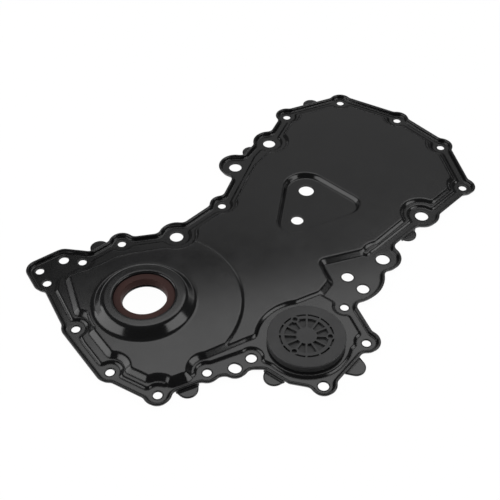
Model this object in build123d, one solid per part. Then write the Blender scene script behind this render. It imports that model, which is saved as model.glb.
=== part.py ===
"""Pressed steel timing cover with its crank seal and its round plug, in millimetres.

Outlines are drawn in the plan of the flange as it was measured: X to the right, Y away from the viewer.
The finished cover is then turned so its long axis lies along +Y, with its locating hole beside the crank at
the origin.
The mounting face of the flange is z = 0 and +Z points away from the engine.
"""
import math
import os

from build123d import *

# sheet and levels above the mounting face
SHEET = 1.5
RIM_RISE = 4.3
LEDGE_RISE = 2.2
PAN_RISE = 5.2
DISC_RISE = 7.2
BOSS_RISE = 17.0
FLANGE = SHEET
RIM_TOP = FLANGE + RIM_RISE
LEDGE_TOP = FLANGE + LEDGE_RISE
PAN_TOP = FLANGE + PAN_RISE
DISC_TOP = FLANGE + DISC_RISE
BOSS_TOP = FLANGE + BOSS_RISE

# slopes of the pressed steps, measured from vertical
LEDGE_SLOPE = 45
PAN_SLOPE = 48
RECESS_SLOPE = 36
RIM_SLOPE = 16
DISC_ARC_SLOPE = 55

# radii rolled into the pressed edges, outer side of the sheet
RIM_LIP_R = 1.1
RIM_FOOT_R = 1.2
LEDGE_ROUND_R = 2.0
PAN_ROUND_R = 3.0
DISC_ROUND_R = 3.0
RECESS_ROUND_R = 2.0
RECESS_FOOT_R = 1.5
BOSS_ROUND_R = 6.0

# crank boss and seal
CRANK = (-109.7, -82.0)
SEAL_OD = 65.0
SEAL_BORE = 46.0
SEAL_WIDTH = 10.0
SEAL_SET_BACK = 2.6
SEAL_STOP_R = 23.8
BOSS_BASE_R = 53.5
BOSS_TOP_R = 44.0
BORE_LIP_R = 2.0
DISC_ARC_R = 104.0

# box over the corner of the pan below the crank, where the disc's arc leaves the pan whole
DISC_CORNER = (-84.0, -182.5)
DISC_CORNER_BOX = (52.0, 35.0)

# section of the seal: radii, depths under its face and wall widths
SEAL_CHAMFER = 0.8
SEAL_MOUTH_R = 24.6
SEAL_THROAT_R = 24.0
SEAL_THROAT_DEPTH = 1.5
SEAL_LIP_DEPTH = 7.5
SEAL_LAND = 2.0
SEAL_LEG = 2.0
SEAL_FACE = 3.5
SEAL_BACK_BEVEL = 1.6
SEAL_LIP_SHORT = 1.0
SPRING_WIRE_D = 1.9
SPRING_OUT = 3.6
RING_PLAY = 0.05

# plug, its pockets and its ring
PLUG = (56.7, -130.7)
PLUG_D = 80.0
PLUG_RISE = 7.8
PLUG_TOP_PLATE = 4.5
PLUG_EDGE_R = 1.0
PLUG_HOLE_D = 70.0
PLUG_PLAY = 0.25
PLUG_WALL = 2.5
PLUG_FOOT = 0.4
PLUG_HOOK = 1.6
PLUG_HOOK_W = 14.0
PLUG_HOOK_PLAY = 0.1
PAD_R = 47.0
PAN_ROUND_PLUG_R = 52.5
RIBS = 12
RIB_W = 2.0
RIB_START = -3
POCKET_DEPTH = 2.5
HUB_R = 10.5
INNER_POCKET_R = 22.3
OUTER_POCKET_R = (25.8, 27.8)
DIMPLES = 3
DIMPLE_CIRCLE_R = 23.8
DIMPLE_D = 5.4
DIMPLE_WALL = 1.7
NIB_HEADING = 100
NIB_W = 4.0
NIB_OUT = 1.2
RING_D = 2.5
RING_CENTRE_R = 37.4

# bolts
BOLT_D = 9.2
DOWEL_D = 11.0
COLLAR_D = 15.2
SMALL_HOLES = [(-228.3, -32.7), (-217.7, -50.6), (-183.8, -19.0), (-178.2, -114.3), (-137.2, -169.1),
               (-143.5, 9.5), (-88.5, -196.4), (-42.1, -169.6), (-32.8, 72.6), (48.0, 244.2), (119.9, 275.4),
               (190.8, 237.1), (239.1, 181.5), (253.9, 104.5), (98.8, -84.7), (117.4, -132.6)]
MID_HOLES = [(1.3, -151.7), (71.1, -185.7), (-204.7, -16.0)]
BIG_HOLES = [(-82.9, 21.0), (-17.9, 142.8), (24.1, 189.4), (146.2, -14.4), (198.4, 55.5)]
SLOT = (-14.8, -164.1)
SLOT_D = 11.6
SLOT_LENGTH = 13.4
SLOT_HEADING = -30
SHELF_HOLES = [(105.4, -41.0), (120.6, -58.4)]
SHELF_HOLE_D = 13.2
RECESS_HOLES = [((54.3, 48.3), 14.2), ((67.0, 99.7), 18.0)]
RECESS_CORNER_R = [18.0, 18.0, 27.0]

# edge of the cover
LOBE_R = 14.4
DOWEL_LOBE_R = 13.6
BIG_LOBE_R = 20.2
SHELF_R = 40.0
EDGE_BLEND = 8.0
RIM_FOOT = 4.0
TAB_R = 10.4
TAB_FLARE = 1.5
TAB_ROOT = 4.0
TABS = [(80.8, 272.4, 203), (1.0, 172.6, 240), (-167.7, 4.0, 220), (-60.0, -189.0, 24), (23.2, -174.6, -37),
        (103.9, -162.5, 52), (177.9, 25.6, 45)]

# room left round the bolts by the ledge and by the pan
LEDGE_CLEAR = 10.5
LEDGE_CLEAR_BIG = 14.5
PAN_CLEAR = 18.5
PAN_CLEAR_BIG = 24.5

# corner radii of those two outlines: corners that stick out, then those that go in
LEDGE_BLEND = (5.0, 5.0)
PAN_BLEND = (5.0, 9.0)


def ring(points):
    return make_face(Polyline(*points, close=True))


def disc(centre, radius):
    return Pos(centre[0], centre[1]) * Circle(radius)


def loop(face):
    """Edges of an outline in order, and +1 when they run anticlockwise."""
    edges = face.faces()[0].outer_wire().order_edges()
    turn = sum((e @ 0).X * (e @ 1).Y - (e @ 1).X * (e @ 0).Y for e in edges)
    return edges, math.copysign(1, turn)


def blend(face, point_r, hollow_r):
    """Round the corners of an outline that stick out and those that go in."""
    for radius, sign in ((point_r, 1), (hollow_r, -1)):
        edges, turn = loop(face)
        chosen = []
        for e, after in zip(edges, edges[1:] + edges[:1]):
            a, b = e % 1, after % 0
            if sign * turn * (a.X * b.Y - a.Y * b.X) > 0.02:
                chosen.append(face.vertices().sort_by_distance(e @ 1)[0])
        face = fillet(chosen, radius)
    return face


def slope_run(height, slope):
    """How far a wall at this slope from vertical travels sideways over a height."""
    return height * math.tan(math.radians(slope))


def through(slope):
    """Sheet thickness of a sloped wall, measured level."""
    return SHEET / math.cos(math.radians(slope))


def grown(face, distance):
    """The smooth outline moved outwards; each arc keeps its centre."""
    edges, turn = loop(face)

    def moved(e, t):
        return (e @ t) + Vector((e % t).Y, -(e % t).X) * distance * turn

    joints = [(moved(before, 1) + moved(e, 0)) / 2 for before, e in zip(edges[-1:] + edges[:-1], edges)]
    sides = []
    for e, a, b in zip(edges, joints, joints[1:] + joints[:1]):
        sides.append(Line(a, b) if e.geom_type == GeomType.LINE else ThreePointArc(a, moved(e, 0.5), b))
    return make_face(sides)


def raised(face, low, high, slope):
    """Solid on a flat outline at z = low whose walls lean inwards up to z = high."""
    lid = grown(face, -slope_run(high - low, slope))
    return loft([Pos(0, 0, low) * face, Pos(0, 0, high) * lid], ruled=True)


def cone(centre, radius, low, high, slope):
    """Round solid of this radius at z = low that leans inwards up to z = high."""
    top = radius - slope_run(high - low, slope)
    standing = (Align.CENTER, Align.CENTER, Align.MIN)
    return Pos(centre[0], centre[1], low) * Cone(radius, top, high - low, align=standing)


def cylinder(centre, radius):
    """Upright cutter that goes through every level."""
    return extrude(disc(centre, radius), amount=BOSS_TOP + 1)


def at_level(solid, z):
    """Edges of a solid that lie level at this height."""
    return [e for e in solid.edges() if max(abs((e @ t).Z - z) for t in (0, 0.5, 1)) < 1e-4]


def top_face(solid):
    return solid.faces().sort_by(Axis.Z)[-1]


def rolled(solid, radius):
    """Round the edge that runs round the top of a solid."""
    return fillet(top_face(solid).outer_wire().edges(), radius)


# edge of the cover: straight runs under the lobes
EDGE_RUNS = [(-234.3, -33.3), (-188.4, -119.7), (-142.9, -179.2), (-94.1, -206.4), (-86.5, -200.9),
             (-37.9, -178.8), (-36.0, -166.0), (-16.0, -160.0), (-8.0, -167.7), (14.3, -167.7),
             (36.9, -184.7), (69.7, -192.0), (78.1, -191.2), (121.6, -135.9), (127.7, -128.6),
             (107.0, -75.5), (123.0, -45.0), (143.9, -12.1), (205.0, 48.9), (208.8, 45.3),
             (260.7, 97.8), (263.9, 106.4), (249.1, 183.4),
             (246.7, 188.1), (198.4, 243.7), (196.2, 246.8), (125.8, 286.1), (115.5, 285.6), (43.6, 254.6),
             (42.1, 246.7), (18.9, 191.6), (11.9, 196.5), (-18.8, 143.3), (-13.7, 141.4), (-36.3, 73.8),
             (-38.5, 78.3), (-90.4, 25.5), (-144.6, 15.3), (-149.9, 17.1), (-209.2, -33.3)]
edge_plan = ring(EDGE_RUNS)
for centre in SMALL_HOLES[4:14] + SMALL_HOLES[15:]:
    edge_plan += disc(centre, LOBE_R)
for centre in BIG_HOLES:
    edge_plan += disc(centre, BIG_LOBE_R)
edge_plan += disc(MID_HOLES[1], DOWEL_LOBE_R)
edge_plan += disc(SLOT, LOBE_R)
edge_plan += disc(SHELF_HOLES[0], SHELF_R)
edge_plan += make_hull([disc(c, LOBE_R).edge() for c in SMALL_HOLES[0:3] + MID_HOLES[2:]])
edge_plan += make_hull([disc(c, LOBE_R).edge() for c in SMALL_HOLES[3:5]])
edge_plan = blend(edge_plan, EDGE_BLEND, EDGE_BLEND)

# pan: its top outline, with room left round the bolts, the plug and the shelf
PAN_RUNS = [(-196.0, -44.5), (-176.1, -102.3), (-171.0, -106.5), (-130.8, -160.9), (-120.3, -168.4),
            (-92.0, -184.2), (-78.0, -183.2), (-56.0, -173.3), (-47.0, -152.5), (-5.0, -129.7),
            (3.0, -126.0), (30.0, -87.8), (73.0, -66.0), (83.5, -50.0), (73.0, -20.0), (121.0, -4.5),
            (130.0, -1.0),
            (178.0, 48.8), (210.2, 73.6), (240.0, 103.8), (243.0, 114.2), (232.7, 167.9),
            (224.0, 185.3), (193.0, 221.0), (175.4, 236.7), (129.8, 262.0), (110.0, 262.0), (63.0, 241.8),
            (55.5, 228.5), (43.1, 199.0), (24.0, 166.0), (5.0, 138.0), (2.3, 129.5), (-15.2, 77.1),
            (-33.8, 55.2),
            (-61.0, 27.4), (-80.0, 0.0), (-97.0, -2.5), (-128.0, -9.0), (-147.0, -15.5), (-165.0, -29.0),
            (-180.0, -37.0)]
pan_plan = ring(PAN_RUNS)
for centre in SMALL_HOLES:
    pan_plan -= disc(centre, PAN_CLEAR)
for centre in BIG_HOLES:
    pan_plan -= disc(centre, PAN_CLEAR_BIG)
pan_plan -= disc(PLUG, PAN_ROUND_PLUG_R)
pan_plan = blend(pan_plan, *PAN_BLEND)

# ledge: outline of its foot on the flange
LEDGE_RUNS = [(-207.0, -45.5), (-207.0, -62.0), (-168.9, -133.5), (-145.1, -165.7), (-95.7, -193.3),
              (-46.0, -170.9), (-47.0, -162.7), (-2.0, -142.5), (1.3, -151.7), (24.0, -163.0),
              (56.7, -130.7),
              (95.0, -150.0), (115.4, -126.5), (87.1, -53.7), (196.3, 55.5), (200.0, 51.5), (253.2, 105.5),
              (238.7, 181.0), (188.5, 238.9), (121.2, 276.3), (54.4, 248.3), (31.9, 195.0), (17.7, 185.0),
              (4.6, 162.5), (-24.5, 77.0), (-85.1, 15.6), (-149.2, 3.6)]
SHELF_CUT = [(72.0, -64.0), (90.5, -79.0), (100.0, -80.0), (125.0, -80.0), (150.0, -40.0), (121.0, -4.0),
             (100.0, 0.0), (75.0, -15.0)]
ledge_plan = ring(LEDGE_RUNS)
for centre in SMALL_HOLES + MID_HOLES:
    ledge_plan -= disc(centre, LEDGE_CLEAR)
for centre in BIG_HOLES:
    ledge_plan -= disc(centre, LEDGE_CLEAR_BIG)
ledge_plan -= ring(SHELF_CUT)
ledge_plan += disc(PLUG, PAD_R)
ledge_plan = blend(ledge_plan, *LEDGE_BLEND)


def step(plan, top, slope):
    """Outer body and hollow of a pressed step whose foot outline is given at the flange."""
    run = slope_run(FLANGE, slope)
    outer = raised(grown(plan, run), 0, top, slope)
    hollow = raised(grown(plan, run - through(slope)), 0, top - SHEET, slope)
    return outer, hollow


# flange with its upstanding rim and turned-out lip
foot = grown(edge_plan, -RIM_FOOT)
back = grown(edge_plan, SHEET - RIM_FOOT)
flange = raised(back, 0, RIM_TOP - SHEET, -RIM_SLOPE)
flange += extrude(Pos(0, 0, RIM_TOP - SHEET) * edge_plan, amount=SHEET)
flange -= raised(foot, FLANGE, RIM_TOP + 1, -RIM_SLOPE)
flange = fillet(at_level(flange, RIM_TOP), RIM_LIP_R)
flange = fillet(at_level(flange, FLANGE), RIM_FOOT_R)

# flat tabs at the foot of the rim, joined to its lip by a leg
skirt = edge_plan - grown(edge_plan, -SHEET)
for x, y, heading in TABS:
    root = Pos(x, y) * Rot(0, 0, heading)
    ends = [root * Pos(side * (TAB_R + TAB_FLARE), TAB_ROOT) * Circle(1) for side in (-1, 1)]
    tab = make_hull([disc((x, y), TAB_R).edge()] + [end.edge() for end in ends])
    flange += extrude(tab - grown(edge_plan, -SHEET), amount=SHEET)
    flange += extrude(skirt & disc((x, y), TAB_R + TAB_FLARE), amount=RIM_TOP - SHEET)

# steps of the pan
pan_low = grown(pan_plan, slope_run(PAN_TOP - FLANGE, PAN_SLOPE))
pan, pan_hollow = step(pan_low, PAN_TOP, PAN_SLOPE)
ledge, ledge_hollow = step(ledge_plan, LEDGE_TOP, LEDGE_SLOPE)
disc_step, disc_hollow = step(pan_low, DISC_TOP, PAN_SLOPE)
disc_foot_r = DISC_ARC_R + slope_run(PAN_TOP, DISC_ARC_SLOPE)
disc_corner = Pos(*DISC_CORNER) * extrude(Rectangle(*DISC_CORNER_BOX), amount=DISC_TOP)
disc_step &= cone(CRANK, disc_foot_r, 0, DISC_TOP, DISC_ARC_SLOPE) + disc_corner
disc_hollow &= cone(CRANK, disc_foot_r - through(DISC_ARC_SLOPE), 0, DISC_TOP - SHEET,
                    DISC_ARC_SLOPE) + disc_corner

# sunk triangle
RECESS_RUNS = [(26.0, 9.4), (141.7, 67.2), (47.4, 153.8)]
recess_plan = ring(RECESS_RUNS)
for point, radius in zip(RECESS_RUNS, RECESS_CORNER_R):
    recess_plan = fillet(recess_plan.vertices().sort_by_distance(point)[0], radius)
recess_floor = grown(recess_plan, -slope_run(PAN_TOP - FLANGE, RECESS_SLOPE))
recess = raised(recess_floor, FLANGE, PAN_TOP, -RECESS_SLOPE)
back_offset = through(RECESS_SLOPE) - slope_run(FLANGE, RECESS_SLOPE)
recess_back = raised(grown(recess_floor, back_offset), 0, PAN_TOP, -RECESS_SLOPE)

# rolled edges, then the sheet as outer body less hollow
pan = rolled(pan - recess, PAN_ROUND_R)
pan = fillet([e for w in top_face(pan).inner_wires() for e in w.edges()], RECESS_ROUND_R)
pan = fillet(at_level(pan, FLANGE), RECESS_FOOT_R)
ledge = rolled(ledge, LEDGE_ROUND_R) - recess
shell = flange + ledge + pan + rolled(disc_step, DISC_ROUND_R)
shell -= ledge_hollow + pan_hollow + disc_hollow - recess_back

# crank boss, turned about the crank axis from the section of its sheet
BOSS_SLOPE = math.degrees(math.atan2(BOSS_BASE_R - BOSS_TOP_R, BOSS_TOP - DISC_TOP))
SEAL_FACE_Z = BOSS_TOP - SEAL_SET_BACK
SEAT_END = SEAL_FACE_Z - SEAL_WIDTH
boss_foot_r = BOSS_BASE_R + BOSS_ROUND_R
seat_r = SEAL_OD / 2


def under(radius, sheet_drop):
    """Radius of the boss wall's inner face this far below the outer surface point at that radius."""
    return radius + slope_run(sheet_drop, BOSS_SLOPE) - through(BOSS_SLOPE)


def turned(points, rounds, centre):
    """Solid turned about the upright axis at a centre; rounds gives a radius for chosen profile points."""
    profile = ring(points)
    for radius, index in rounds:
        corner = profile.vertices().sort_by_distance(Vector(*points[index]))[0]
        profile = fillet(corner, radius)
    return Pos(centre[0], centre[1]) * revolve(Plane.XZ * profile, Axis.Z)


boss_section = [(boss_foot_r, DISC_TOP), (BOSS_BASE_R, DISC_TOP), (BOSS_TOP_R, BOSS_TOP), (seat_r, BOSS_TOP),
                (seat_r, SEAT_END), (SEAL_STOP_R, SEAT_END), (SEAL_STOP_R, SEAT_END - SHEET),
                (seat_r + SHEET, SEAT_END - SHEET), (seat_r + SHEET, BOSS_TOP - SHEET),
                (under(BOSS_TOP_R, SHEET), BOSS_TOP - SHEET), (under(BOSS_BASE_R, SHEET), DISC_TOP - SHEET),
                (boss_foot_r, DISC_TOP - SHEET)]
boss_rounds = [(BOSS_ROUND_R, 1), (BOSS_ROUND_R, 2), (BORE_LIP_R, 3), (SHEET, 7), (BORE_LIP_R - SHEET, 8),
               (BOSS_ROUND_R - SHEET, 9), (BOSS_ROUND_R + SHEET, 10)]
shell -= cylinder(CRANK, boss_foot_r)
shell += turned(boss_section, boss_rounds, CRANK)

# holes
cutters = [cylinder(centre, BOLT_D / 2) for centre in SMALL_HOLES]
cutters += [cylinder(centre, DOWEL_D / 2) for centre in MID_HOLES]
cutters += [cylinder(centre, COLLAR_D / 2) for centre in BIG_HOLES]
cutters += [cylinder(centre, SHELF_HOLE_D / 2) for centre in SHELF_HOLES]
cutters += [cylinder(centre, diameter / 2) for centre, diameter in RECESS_HOLES]
cutters.append(cylinder(PLUG, PLUG_HOLE_D / 2))
slot = Pos(*SLOT) * Rot(0, 0, SLOT_HEADING) * SlotOverall(SLOT_LENGTH, SLOT_D)
cutters.append(extrude(slot, amount=FLANGE))
shell -= cutters

# rubber crank seal with its spring groove
lip_r = SEAL_BORE / 2
lip_z = SEAL_FACE_Z - SEAL_LIP_DEPTH
spring_r = lip_r + SPRING_OUT
spring_z = lip_z + SEAL_LAND / 4
seal_back = SEAL_FACE_Z - SEAL_WIDTH
lip_end = seal_back + SEAL_LIP_SHORT
seal_section = [(seat_r, SEAL_FACE_Z - SEAL_CHAMFER), (seat_r - SEAL_CHAMFER, SEAL_FACE_Z),
                (SEAL_MOUTH_R, SEAL_FACE_Z), (SEAL_THROAT_R, SEAL_FACE_Z - SEAL_THROAT_DEPTH),
                (lip_r, lip_z + SEAL_LAND), (lip_r, lip_z), (lip_r + SEAL_BACK_BEVEL, lip_end),
                (spring_r, lip_end), (spring_r, SEAL_FACE_Z - SEAL_FACE),
                (seat_r - SEAL_LEG, SEAL_FACE_Z - SEAL_FACE), (seat_r - SEAL_LEG, seal_back),
                (seat_r, seal_back)]
seal = turned(seal_section, [], CRANK)
seal -= Pos(CRANK[0], CRANK[1], spring_z) * Torus(spring_r, SPRING_WIRE_D / 2 + RING_PLAY)
spring = Pos(CRANK[0], CRANK[1], spring_z) * Torus(spring_r, SPRING_WIRE_D / 2)

# plug with its pattern of pockets
PLUG_TOP = LEDGE_TOP + PLUG_RISE
spigot_r = PLUG_HOLE_D / 2 - PLUG_PLAY
plug_section = [(0, PLUG_TOP), (PLUG_D / 2, PLUG_TOP), (PLUG_D / 2, LEDGE_TOP), (spigot_r, LEDGE_TOP),
                (spigot_r, PLUG_FOOT), (spigot_r - PLUG_WALL, PLUG_FOOT),
                (spigot_r - PLUG_WALL, PLUG_TOP - PLUG_TOP_PLATE), (0, PLUG_TOP - PLUG_TOP_PLATE)]
plug = turned(plug_section, [(PLUG_EDGE_R, 1)], (0, 0))
pockets = (Circle(INNER_POCKET_R) - Circle(HUB_R)) + (Circle(OUTER_POCKET_R[1]) - Circle(OUTER_POCKET_R[0]))
for i in range(RIBS):
    pockets -= Rot(0, 0, RIB_START + i * 360 / RIBS) * Pos(PLUG_D / 4, 0) * Rectangle(PLUG_D / 2, RIB_W)
for i in range(DIMPLES):
    spot = Rot(0, 0, RIB_START + i * 360 / DIMPLES) * Pos(DIMPLE_CIRCLE_R, 0)
    pockets -= spot * Circle(DIMPLE_D / 2 + DIMPLE_WALL)
    pockets += spot * Circle(DIMPLE_D / 2)
plug -= extrude(Pos(0, 0, PLUG_TOP - POCKET_DEPTH) * pockets, amount=POCKET_DEPTH)
nib = Rot(0, 0, NIB_HEADING) * Pos(PLUG_D / 2, 0) * Rectangle(2 * NIB_OUT, NIB_W)
plug += extrude(Pos(0, 0, LEDGE_TOP) * nib, amount=PLUG_RISE - PLUG_EDGE_R)
hooks = Circle(spigot_r + PLUG_HOOK) - Circle(spigot_r - PLUG_WALL / 2)
hook_rise = LEDGE_TOP - SHEET - PLUG_FOOT - PLUG_HOOK_PLAY
for i in range(DIMPLES):
    heading = RIB_START + (i + 0.5) * 360 / DIMPLES
    wing = Rot(0, 0, heading) * Pos(PLUG_D / 2, 0) * Rectangle(PLUG_D / 2, PLUG_HOOK_W)
    plug += extrude(Pos(0, 0, PLUG_FOOT) * (hooks & wing), amount=hook_rise)
ring_z = LEDGE_TOP + RING_D / 2
ring_groove = (Circle(RING_CENTRE_R + RING_D / 2 + RING_PLAY)
               - Circle(RING_CENTRE_R - RING_D / 2 - RING_PLAY))
plug -= Pos(0, 0, LEDGE_TOP) * extrude(ring_groove, amount=RING_D)
plug = Pos(PLUG[0], PLUG[1]) * plug
o_ring = Pos(PLUG[0], PLUG[1], ring_z) * Torus(RING_CENTRE_R, RING_D / 2)

# turn the long axis to +Y with the locating hole at the origin
TURN = 40
DATUM = MID_HOLES[2]
home = Rot(0, 0, TURN) * Pos(-DATUM[0], -DATUM[1])
os.makedirs("parts", exist_ok=True)
for name, solid in (("cover_shell", shell), ("crank_oil_seal", seal), ("seal_garter_spring", spring),
                    ("access_cap", plug), ("cap_o_ring", o_ring)):
    export_step(home * solid, f"parts/{name}.step")
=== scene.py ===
"""Looks for the pressed steel timing cover: coated sheet, crank seal and access plug, in metres."""
import math

import bmesh
import bpy
from mathutils import Matrix, Quaternion, Vector


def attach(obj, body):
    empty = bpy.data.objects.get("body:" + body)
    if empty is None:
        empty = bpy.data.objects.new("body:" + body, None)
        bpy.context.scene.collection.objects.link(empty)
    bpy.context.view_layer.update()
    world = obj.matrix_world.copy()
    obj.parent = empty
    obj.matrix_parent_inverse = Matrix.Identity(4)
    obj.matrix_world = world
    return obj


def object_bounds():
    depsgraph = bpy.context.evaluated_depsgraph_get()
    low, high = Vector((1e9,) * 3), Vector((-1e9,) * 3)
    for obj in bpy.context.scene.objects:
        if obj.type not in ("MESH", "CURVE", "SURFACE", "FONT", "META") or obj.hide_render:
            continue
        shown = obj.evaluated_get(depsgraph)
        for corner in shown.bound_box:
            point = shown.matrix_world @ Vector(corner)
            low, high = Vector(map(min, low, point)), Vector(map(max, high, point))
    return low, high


MM = 0.001

# the cover's plan, in millimetres over the flange, and its turn onto the CAD frame
DATUM = Vector((-204.7, -16.0, 0.0))
TURN = Matrix.Rotation(math.radians(40), 3, "Z")
SHEET = 1.5

# camera in the plan, and its lens in pixels
CAMERA_AT = (0.0, -706.0, 708.0)
CAMERA_AIM = (0.0, 0.0, 0.0)
FOCAL_PIXELS = 899.0
PHOTO_PIXELS = 500.0
SENSOR_MM = 36.0
SIGHT = 50.0

# finish of each CAD node: the record's slot, two tones, range of roughness, scale and depth of the grain
LOOKS = {
    "cover_shell": dict(slot="black_coat", dark=(0.0075, 0.0075, 0.008, 1), light=(0.010, 0.010, 0.0105, 1),
                        rough=(0.13, 0.16), grain=1800.0, depth=0.00001, specks=0.1, soft_edge=0.0025),
    "crank_oil_seal": dict(slot="brown_rubber", dark=(0.068, 0.036, 0.032, 1), light=(0.084, 0.044, 0.040, 1),
                           rough=(0.45, 0.55), grain=1500.0, depth=0.00003, gloss=0.08),
    "seal_garter_spring": dict(slot="spring_steel", dark=(0.45, 0.45, 0.46, 1), light=(0.6, 0.6, 0.61, 1),
                               rough=(0.25, 0.35), grain=900.0, depth=0.00002, metallic=1.0),
    "access_cap": dict(slot="cap_plastic", dark=(0.046, 0.046, 0.047, 1), light=(0.056, 0.056, 0.057, 1),
                       rough=(0.48, 0.55), grain=2500.0, depth=0.00004),
    "cap_o_ring": dict(slot="black_rubber", dark=(0.012, 0.012, 0.012, 1), light=(0.02, 0.02, 0.02, 1),
                       rough=(0.5, 0.6), grain=1500.0, depth=0.00002),
}
TONE_SCALE = 22.0
DUST_SCALE = 1400.0
DUST = (0.35, 0.35, 0.35, 1)
GLOSS_SCALE = 60.0
MIDDLE = (0.3, 0.7)

# lamps: place in the plan, width and height in metres, watts, and roll in degrees
LAMPS = {
    "left_box": ((-1900, -300, 800), (2.4, 1.2), 22, 0),
    "right_box": ((1750, -560, 1150), (1.6, 1.0), 13, 0),
    "top_box": ((430, 2470, 4325), (3.4, 2.3), 44, 18),
    "back_box": ((60, 1915, 1345), (1.5, 0.8), 1.4, 0),
}

# web between the foot of the crank boss and the slope round the second left bolt, in the plan
CRANK = Vector((-109.7, -82.0))
SECOND_BOLT = Vector((-178.2, -114.3))
BOSS_FOOT_R = 59.48
SLOPE_FOOT_R = 12.7
SLOPE_RISE = 0.9
WEB_TOP = 7.9
WEB_SUNK = 1.6
WEB_FLARE = 0.9
WEB_HEADINGS = range(194, 218)

# floor under the cover, and how much of its own white it shows
FLOOR_HALF = 6.0
FLOOR_DROP = 0.0005
FLOOR_WHITE = 1.03
FLOOR_SHARE = 0.95


def from_plan(point):
    """A point of the plan as a point of the CAD frame in metres."""
    return (TURN @ (Vector(point) - DATUM) + Vector((0, 0, SHEET))) * MM


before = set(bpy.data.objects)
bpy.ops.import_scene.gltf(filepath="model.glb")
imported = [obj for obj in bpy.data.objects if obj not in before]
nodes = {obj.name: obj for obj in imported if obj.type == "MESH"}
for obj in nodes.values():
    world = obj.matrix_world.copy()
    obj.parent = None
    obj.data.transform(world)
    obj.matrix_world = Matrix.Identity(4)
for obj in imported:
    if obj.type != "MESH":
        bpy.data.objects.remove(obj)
cad_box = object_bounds()


# node helpers: a value may be a socket or a plain number

def put(tree, socket, value):
    if isinstance(value, bpy.types.NodeSocket):
        tree.links.new(value, socket)
    else:
        socket.default_value = value


def first(tree, kind):
    return next(node for node in tree.nodes if node.type == kind)


def maths(tree, operation, a, b):
    node = tree.nodes.new("ShaderNodeMath")
    node.operation = operation
    put(tree, node.inputs[0], a)
    put(tree, node.inputs[1], b)
    return node.outputs[0]


def remap(tree, value, old, new, smooth=False):
    """Stretches the range old of a value onto the range new, and holds it there."""
    node = tree.nodes.new("ShaderNodeMapRange")
    if smooth:
        node.interpolation_type = "SMOOTHSTEP"
    put(tree, node.inputs["Value"], value)
    for name, number in zip(("From Min", "From Max", "To Min", "To Max"), old + new):
        node.inputs[name].default_value = number
    return node.outputs["Result"]


def noise(tree, vector, scale, detail=2.0):
    node = tree.nodes.new("ShaderNodeTexNoise")
    node.inputs["Scale"].default_value = scale
    node.inputs["Detail"].default_value = detail
    tree.links.new(vector, node.inputs["Vector"])
    return node.outputs["Fac"]


def mixed(tree, value, a, b):
    node = tree.nodes.new("ShaderNodeMix")
    node.data_type = "RGBA"
    put(tree, node.inputs[0], value)
    put(tree, node.inputs[6], a)
    put(tree, node.inputs[7], b)
    return node.outputs[2]


# materials: tone and gloss wander a little, over a fine grain and a few specks of dust

def surface(slot, dark, light, rough, grain, depth, metallic=0.0, specks=0.0, soft_edge=0.0, gloss=0.5):
    material = bpy.data.materials.new(slot)
    material.use_nodes = True
    tree = material.node_tree
    shader = first(tree, "BSDF_PRINCIPLED")
    vector = tree.nodes.new("ShaderNodeTexCoord").outputs["Object"]
    tone = remap(tree, noise(tree, vector, TONE_SCALE, 4.0), MIDDLE, (0, 1))
    colour = mixed(tree, tone, dark, light)
    if specks:
        dust = remap(tree, noise(tree, vector, DUST_SCALE, 1.0), (0.76, 0.82), (0, specks))
        colour = mixed(tree, dust, colour, DUST)
    put(tree, shader.inputs["Base Color"], colour)
    put(tree, shader.inputs["Roughness"], remap(tree, noise(tree, vector, GLOSS_SCALE), MIDDLE, rough))
    shader.inputs["Metallic"].default_value = metallic
    shader.inputs["Specular IOR Level"].default_value = gloss
    bump = tree.nodes.new("ShaderNodeBump")
    bump.inputs["Strength"].default_value = 0.5
    bump.inputs["Distance"].default_value = depth
    put(tree, bump.inputs["Height"], noise(tree, vector, grain))
    if soft_edge:
        bevel = tree.nodes.new("ShaderNodeBevel")
        bevel.samples = 8
        bevel.inputs["Radius"].default_value = soft_edge
        put(tree, bump.inputs["Normal"], bevel.outputs["Normal"])
    put(tree, shader.inputs["Normal"], bump.outputs["Normal"])
    return material


materials = {}
for name, look in LOOKS.items():
    slot = look["slot"]
    materials[slot] = surface(**look)
    nodes[name].data.materials.clear()
    nodes[name].data.materials.append(materials[slot])


def make_web():
    """Strip that closes the narrow opening under the edge of the boss's foot, down into the slope."""
    mesh = bpy.data.meshes.new("boss_foot_web")
    web = bmesh.new()
    rings = []
    for heading in WEB_HEADINGS:
        outwards = Vector((math.cos(math.radians(heading)), math.sin(math.radians(heading))))
        reach = (CRANK + outwards * BOSS_FOOT_R - SECOND_BOLT).length
        low = SHEET + (reach - SLOPE_FOOT_R) * SLOPE_RISE - WEB_SUNK
        section = ((0, WEB_TOP), (WEB_FLARE, low), (WEB_FLARE - SHEET, low), (-SHEET, WEB_TOP))
        spots = [(CRANK + outwards * (BOSS_FOOT_R + step), z) for step, z in section]
        rings.append([web.verts.new(from_plan((spot.x, spot.y, z - SHEET))) for spot, z in spots])
    for near, far in zip(rings, rings[1:]):
        for i in range(4):
            web.faces.new((near[i], near[i - 1], far[i - 1], far[i]))
    web.faces.new(rings[0])
    web.faces.new(rings[-1])
    bmesh.ops.recalc_face_normals(web, faces=web.faces)
    web.to_mesh(mesh)
    web.free()
    piece = bpy.data.objects.new("boss_foot_web", mesh)
    bpy.context.collection.objects.link(piece)
    slot = LOOKS["cover_shell"]["slot"]
    mesh.materials.append(materials[slot])
    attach(piece, "root")


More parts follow.
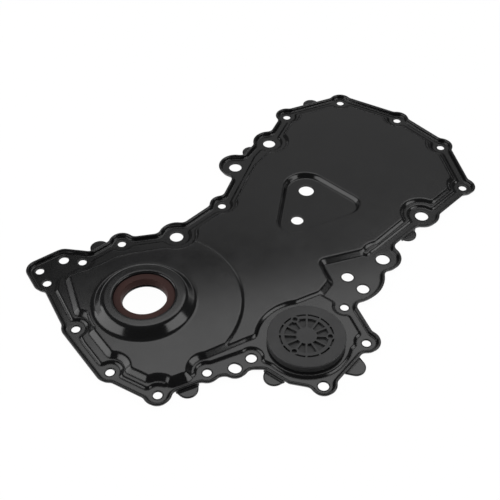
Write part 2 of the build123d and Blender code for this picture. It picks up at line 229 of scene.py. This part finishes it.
def make_floor():
    """Floor that is white to the eye and in gloss, with the cover's shadow left on it."""
    mesh = bpy.data.meshes.new("floor")
    corners = [(x * FLOOR_HALF, y * FLOOR_HALF, 0) for x, y in ((-1, -1), (1, -1), (1, 1), (-1, 1))]
    mesh.from_pydata(corners, [], [(0, 1, 2, 3)])
    floor = bpy.data.objects.new("floor", mesh)
    middle = (cad_box[0] + cad_box[1]) / 2
    floor.location = (middle.x, middle.y, cad_box[0].z - FLOOR_DROP)
    bpy.context.collection.objects.link(floor)
    material = bpy.data.materials.new("floor")
    material.use_nodes = True
    tree = material.node_tree
    shader = first(tree, "BSDF_PRINCIPLED")
    shader.inputs["Base Color"].default_value = (0.9, 0.9, 0.9, 1)
    shader.inputs["Roughness"].default_value = 0.9
    shader.inputs["Specular IOR Level"].default_value = 0.0
    white = tree.nodes.new("ShaderNodeEmission")
    white.inputs["Strength"].default_value = FLOOR_WHITE
    rays = tree.nodes.new("ShaderNodeLightPath").outputs
    seen = maths(tree, "MAXIMUM", rays["Is Camera Ray"], rays["Is Glossy Ray"])
    seen = maths(tree, "MAXIMUM", seen, rays["Is Transmission Ray"])
    mix = tree.nodes.new("ShaderNodeMixShader")
    put(tree, mix.inputs[0], maths(tree, "MULTIPLY", seen, FLOOR_SHARE))
    put(tree, mix.inputs[1], shader.outputs["BSDF"])
    put(tree, mix.inputs[2], white.outputs["Emission"])
    put(tree, first(tree, "OUTPUT_MATERIAL").inputs["Surface"], mix.outputs["Shader"])
    mesh.materials.append(material)


def make_world():
    """Studio that is white round the horizon, darker overhead and darkest over the viewer's side."""
    world = bpy.data.worlds.new("studio")
    bpy.context.scene.world = world
    world.use_nodes = True
    tree = world.node_tree
    sky = first(tree, "BACKGROUND")
    heading = tree.nodes.new("ShaderNodeTexCoord").outputs["Generated"]
    split = tree.nodes.new("ShaderNodeSeparateXYZ")
    put(tree, split.inputs[0], heading)
    along = tree.nodes.new("ShaderNodeVectorMath")
    along.operation = "DOT_PRODUCT"
    put(tree, along.inputs[0], heading)
    along.inputs[1].default_value = TURN @ Vector((0, 0.8, 0.6))
    overhead = remap(tree, along.outputs["Value"], (-0.6, 0.9), (0.04, 0.10))
    horizon = remap(tree, split.outputs["Z"], (0.04, 0.14), (1, 0), smooth=True)
    added = maths(tree, "MULTIPLY", horizon, maths(tree, "SUBTRACT", 1, overhead))
    put(tree, sky.inputs["Color"], (1, 1, 1, 1))
    put(tree, sky.inputs["Strength"], maths(tree, "ADD", overhead, added))


def softbox(name, at, size, power, roll):
    """Rectangular lamp placed in the plan, aimed at its middle and rolled about that line."""
    data = bpy.data.lights.new(name, "AREA")
    data.shape = "RECTANGLE"
    data.size, data.size_y = size
    data.energy = power
    lamp = bpy.data.objects.new(name, data)
    lamp.location = from_plan(at)
    aimed = (from_plan((0, 0, 0)) - lamp.location).to_track_quat("-Z", "Y")
    lamp.rotation_euler = (aimed @ Quaternion((0, 0, 1), math.radians(roll))).to_euler()
    bpy.context.collection.objects.link(lamp)


def make_camera():
    data = bpy.data.cameras.new("camera")
    data.sensor_width = SENSOR_MM
    data.lens = FOCAL_PIXELS / PHOTO_PIXELS * SENSOR_MM
    data.clip_end = SIGHT
    camera = bpy.data.objects.new("camera", data)
    camera.location = from_plan(CAMERA_AT)
    aim = from_plan(CAMERA_AIM) - camera.location
    camera.rotation_euler = aim.to_track_quat("-Z", "Y").to_euler()
    bpy.context.collection.objects.link(camera)
    bpy.context.scene.camera = camera


make_web()
make_floor()
make_world()
for name, (at, size, power, roll) in LAMPS.items():
    softbox(name, at, size, power, roll)
make_camera()
bpy.context.scene.view_settings.view_transform = "Standard"
